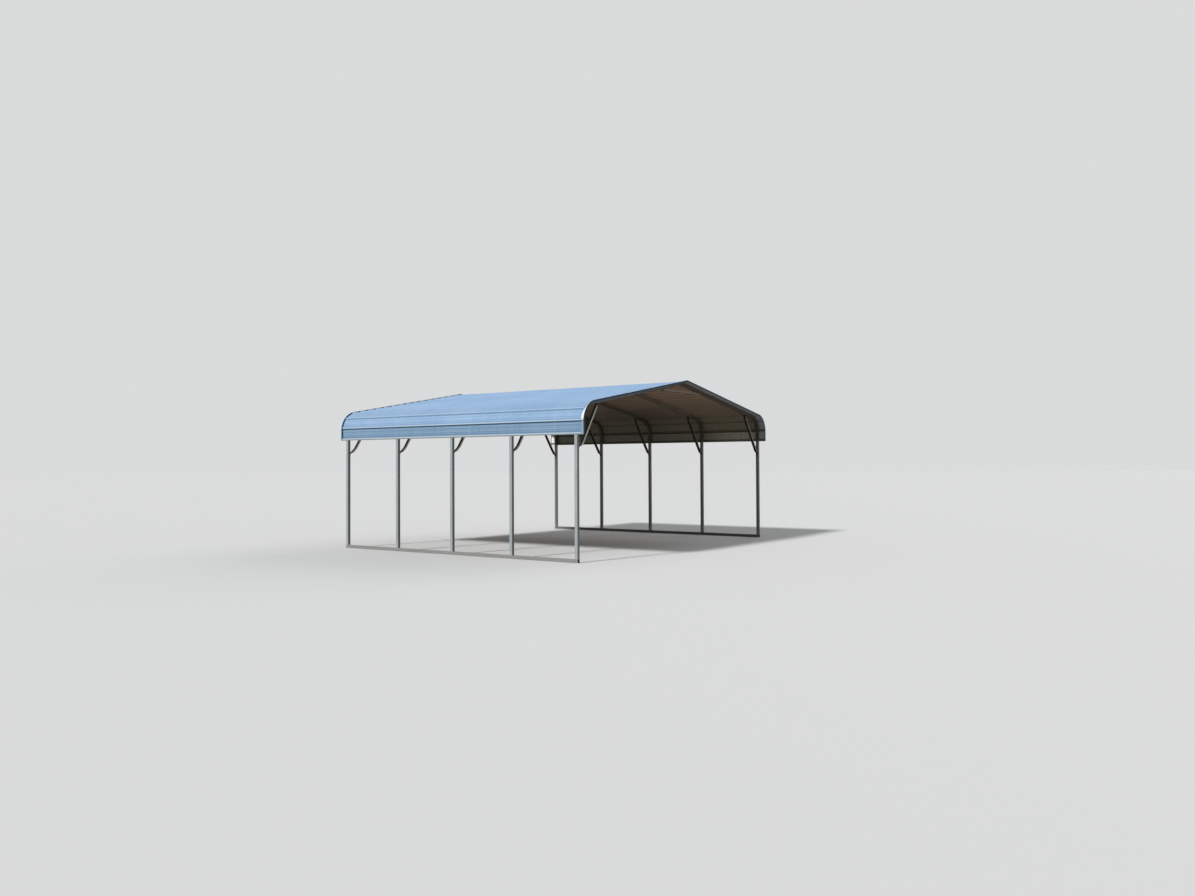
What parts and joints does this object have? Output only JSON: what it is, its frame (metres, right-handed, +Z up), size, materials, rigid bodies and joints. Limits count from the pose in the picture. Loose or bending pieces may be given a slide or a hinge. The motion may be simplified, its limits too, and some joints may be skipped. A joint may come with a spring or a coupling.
{
  "type": "carport",
  "caption": "Open carport of bent square steel tube on two base rails, with knee braces and a ribbed steel roof that wraps down over both eaves.",
  "frame": {"origin": "on the ground under the middle of the ridge", "axes": "+X across the carport to the right side, +Y along it to the back, +Z up"},
  "size_m": [7.3608, 6.4034, 3.4755],
  "materials": {
    "galvanised_steel": "galvanised, dull",
    "blue_roofing": "painted, satin, pale dull underside",
    "blue_trim": "painted, satin"
  },
  "bodies": {
    "root": {"base_rail_left": "galvanised_steel", "post_left_1": "galvanised_steel", "post_left_2": "galvanised_steel", "post_left_3": "galvanised_steel", "post_left_4": "galvanised_steel", "post_left_5": "galvanised_steel", "base_rail_right": "galvanised_steel", "post_right_1": "galvanised_steel", "post_right_2": "galvanised_steel", "post_right_3": "galvanised_steel", "post_right_4": "galvanised_steel", "post_right_5": "galvanised_steel", "bow_1": "galvanised_steel", "bow_2": "galvanised_steel", "bow_3": "galvanised_steel", "bow_4": "galvanised_steel", "bow_5": "galvanised_steel", "knee_brace_left_1": "galvanised_steel", "knee_brace_left_2": "galvanised_steel", "knee_brace_left_3": "galvanised_steel", "knee_brace_left_4": "galvanised_steel", "knee_brace_left_5": "galvanised_steel", "knee_brace_right_1": "galvanised_steel", "knee_brace_right_2": "galvanised_steel", "knee_brace_right_3": "galvanised_steel", "knee_brace_right_4": "galvanised_steel", "knee_brace_right_5": "galvanised_steel", "peak_brace_1": "galvanised_steel", "peak_brace_2": "galvanised_steel", "peak_brace_3": "galvanised_steel", "peak_brace_4": "galvanised_steel", "peak_brace_5": "galvanised_steel", "eave_sheet_left": "blue_roofing", "slope_sheet_left_1": "blue_roofing", "slope_sheet_left_2": "blue_roofing", "slope_sheet_left_3": "blue_roofing", "eave_sheet_right": "blue_roofing", "slope_sheet_right_1": "blue_roofing", "slope_sheet_right_2": "blue_roofing", "slope_sheet_right_3": "blue_roofing", "ridge_sheet": "blue_roofing", "gable_trim_front_left": "blue_trim", "gable_trim_front_right": "blue_trim", "gable_trim_back_left": "blue_trim", "gable_trim_back_right": "blue_trim"}
  },
  "joints": []
}
